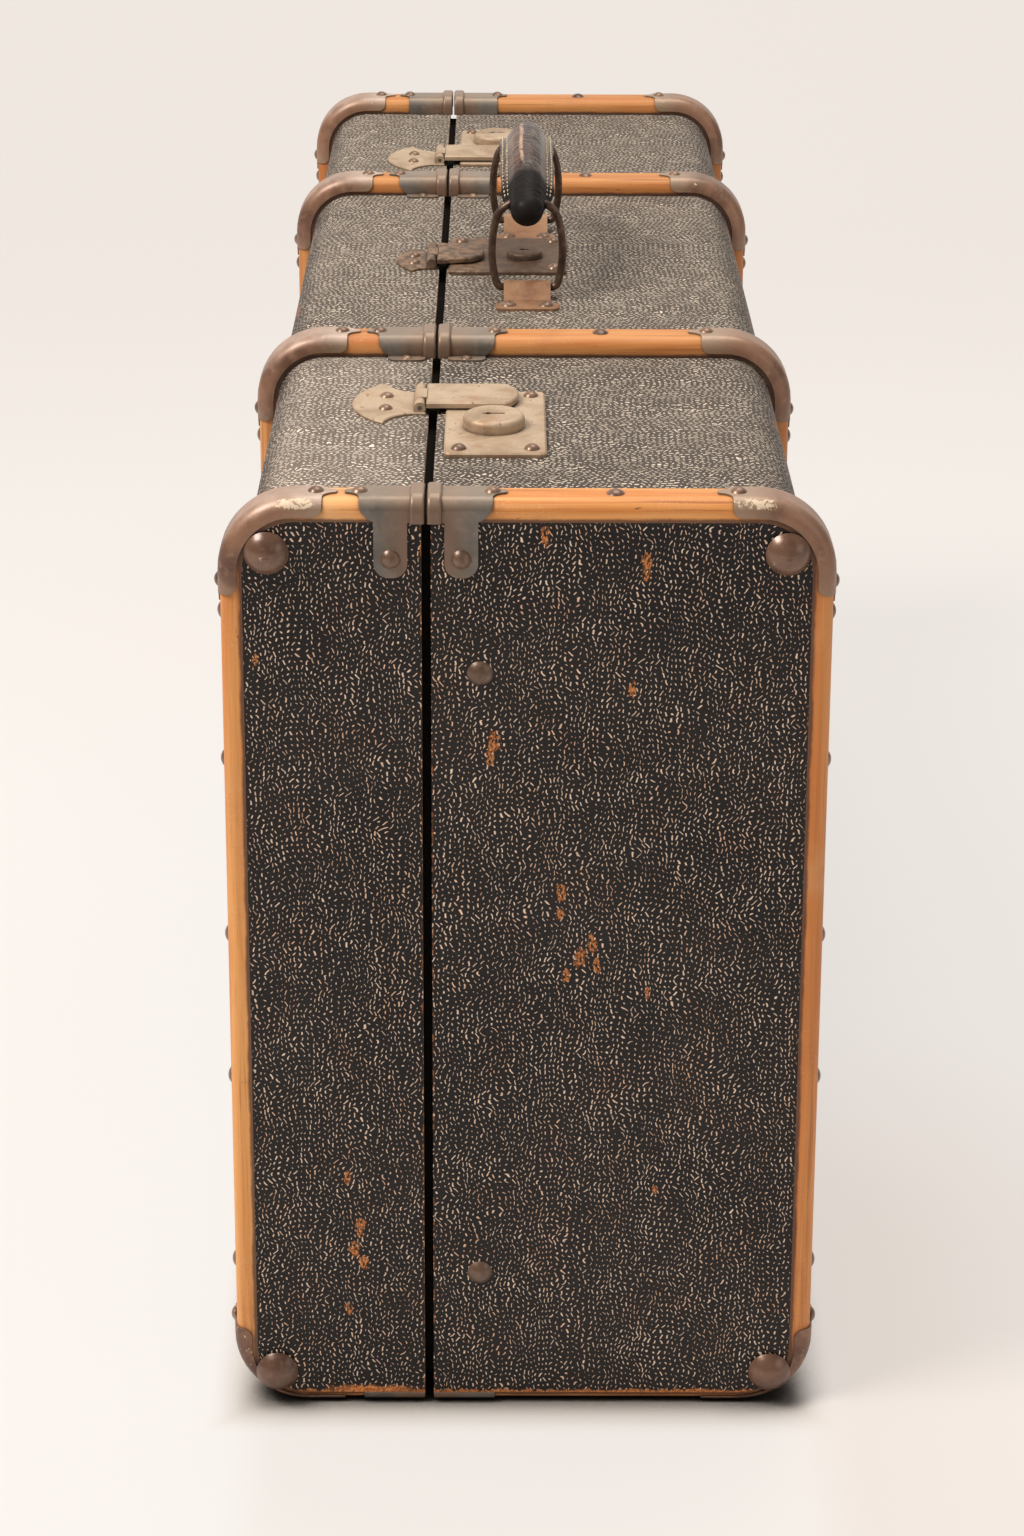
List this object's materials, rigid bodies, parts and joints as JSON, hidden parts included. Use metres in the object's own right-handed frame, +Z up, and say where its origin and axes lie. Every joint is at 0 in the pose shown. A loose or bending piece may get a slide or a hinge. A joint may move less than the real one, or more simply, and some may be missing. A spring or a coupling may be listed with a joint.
{
  "type": "travel trunk",
  "caption": "Upright travel trunk with bentwood hoops, riveted sheet metal corners, hinged lid, hasp locks and a leather ring handle.",
  "frame": {"origin": "on the floor under the middle of the trunk, which stands on its hinge side", "axes": "+Z up towards the handle, +Y along the trunk away from the viewer, +X from the lid to the base"},
  "size_m": [0.3476, 1.0164, 0.654],
  "materials": {
    "plywood": "bare plywood",
    "covering": "embossed black paper cloth flecked with cream, dusty on top",
    "lining": "aged plain lining paper",
    "slat_wood": "varnished beech, worn",
    "elbow_metal": "browned sheet steel with worn plating",
    "ferrule_metal": "grey-brown sheet steel",
    "lock_metal": "tarnished plated steel",
    "saddle_metal": "browned steel",
    "rivet_metal": "dark browned steel",
    "ring_steel": "dark patinated wire",
    "hinge_steel": "plain steel, dulled",
    "leather": "dark cracked leather"
  },
  "bodies": {
    "base": {"base_back_elbows": "elbow_metal", "base_back_ferrules": "ferrule_metal", "base_back_slats": "slat_wood", "base_corner_blocks": "slat_wood", "base_corner_studs": "rivet_metal", "base_covering": "covering", "base_elbow_rivets": "rivet_metal", "base_end_board_far": "plywood", "base_end_board_near": "plywood", "base_end_ferrules": "ferrule_metal", "base_ferrule_rivets": "rivet_metal", "base_hinge_leaves": "hinge_steel", "base_hinge_rivets": "rivet_metal", "base_lining": "lining", "base_middle_ferrules": "ferrule_metal", "base_side_slats": "slat_wood", "base_slat_nails": "rivet_metal", "base_top_elbows": "elbow_metal", "base_top_slats": "slat_wood", "base_wall_board": "plywood", "end_face_rivets": "rivet_metal", "handle_saddle_far": "saddle_metal", "handle_saddle_near": "saddle_metal", "hinge_pins": "hinge_steel", "lip_frame": "plywood", "lock_plate_rivets": "rivet_metal", "lock_plates": "lock_metal", "saddle_rivets": "rivet_metal"},
    "lid": {"lid_back_elbows": "elbow_metal", "lid_back_ferrules": "ferrule_metal", "lid_back_slats": "slat_wood", "lid_corner_blocks": "slat_wood", "lid_corner_studs": "rivet_metal", "lid_covering": "covering", "lid_elbow_rivets": "rivet_metal", "lid_end_board_far": "plywood", "lid_end_board_near": "plywood", "lid_end_ferrules": "ferrule_metal", "lid_ferrule_rivets": "rivet_metal", "lid_hinge_leaves": "hinge_steel", "lid_hinge_rivets": "rivet_metal", "lid_lining": "lining", "lid_middle_ferrules": "ferrule_metal", "lid_side_slats": "slat_wood", "lid_slat_nails": "rivet_metal", "lid_top_elbows": "elbow_metal", "lid_top_slats": "slat_wood", "lid_wall_board": "plywood", "hasp_plates": "lock_metal", "hasp_pins": "hinge_steel", "hasp_plate_rivets": "lock_metal"},
    "handle_grip": {"handle_grip": "leather"},
    "handle_ring_far": {"handle_ring_far": "ring_steel"},
    "handle_ring_near": {"handle_ring_near": "ring_steel"},
    "hasp_arm_far": {"hasp_arm_far": "lock_metal"},
    "hasp_arm_middle": {"hasp_arm_middle": "lock_metal"},
    "hasp_arm_near": {"hasp_arm_near": "lock_metal"},
    "lock_button_far": {"lock_button_far": "lock_metal"},
    "lock_button_middle": {"lock_button_middle": "lock_metal"},
    "lock_button_near": {"lock_button_near": "lock_metal"}
  },
  "joints": [
    {"name": "lid_hinge", "type": "hinge", "parent": "base", "child": "lid", "pos_m": [-0.0558, 0, 0.004], "axis": [0, -1, 0], "range_deg": [0, 105]},
    {"name": "hasp_near", "type": "hinge", "parent": "lid", "child": "hasp_arm_near", "pos_m": [-0.0638, -0.33675, 0.5626], "axis": [0, -1, 0], "range_deg": [0, 150]},
    {"name": "hasp_middle", "type": "hinge", "parent": "lid", "child": "hasp_arm_middle", "pos_m": [-0.0638, 0.0305, 0.5626], "axis": [0, -1, 0], "range_deg": [0, 150]},
    {"name": "hasp_far", "type": "hinge", "parent": "lid", "child": "hasp_arm_far", "pos_m": [-0.0638, 0.34775, 0.5626], "axis": [0, -1, 0], "range_deg": [0, 150]},
    {"name": "button_near", "type": "slide", "parent": "base", "child": "lock_button_near", "axis": [0, -1, 0], "range_m": [0, 0.006], "stiffness_N_per_m": 300},
    {"name": "button_middle", "type": "slide", "parent": "base", "child": "lock_button_middle", "axis": [0, -1, 0], "range_m": [0, 0.006], "stiffness_N_per_m": 300},
    {"name": "button_far", "type": "slide", "parent": "base", "child": "lock_button_far", "axis": [0, 1, 0], "range_m": [0, 0.006], "stiffness_N_per_m": 300},
    {"name": "ring_near", "type": "hinge", "parent": "base", "child": "handle_ring_near", "pos_m": [0.0025, -0.066, 0.5656], "axis": [1, 0, 0], "range_deg": [-60, 60]},
    {"name": "ring_far", "type": "hinge", "parent": "base", "child": "handle_ring_far", "pos_m": [0.0025, 0.107, 0.5656], "axis": [1, 0, 0], "range_deg": [-60, 60]},
    {"name": "grip_turn", "type": "hinge", "parent": "handle_ring_near", "child": "handle_grip", "pos_m": [0.0025, -0.066, 0.6252], "axis": [1, 0, 0], "range_deg": [-60, 60]}
  ],
  "couplings": [
    {"joint": "ring_far", "follows": "ring_near", "ratio": 1},
    {"joint": "grip_turn", "follows": "ring_near", "ratio": -1}
  ]
}
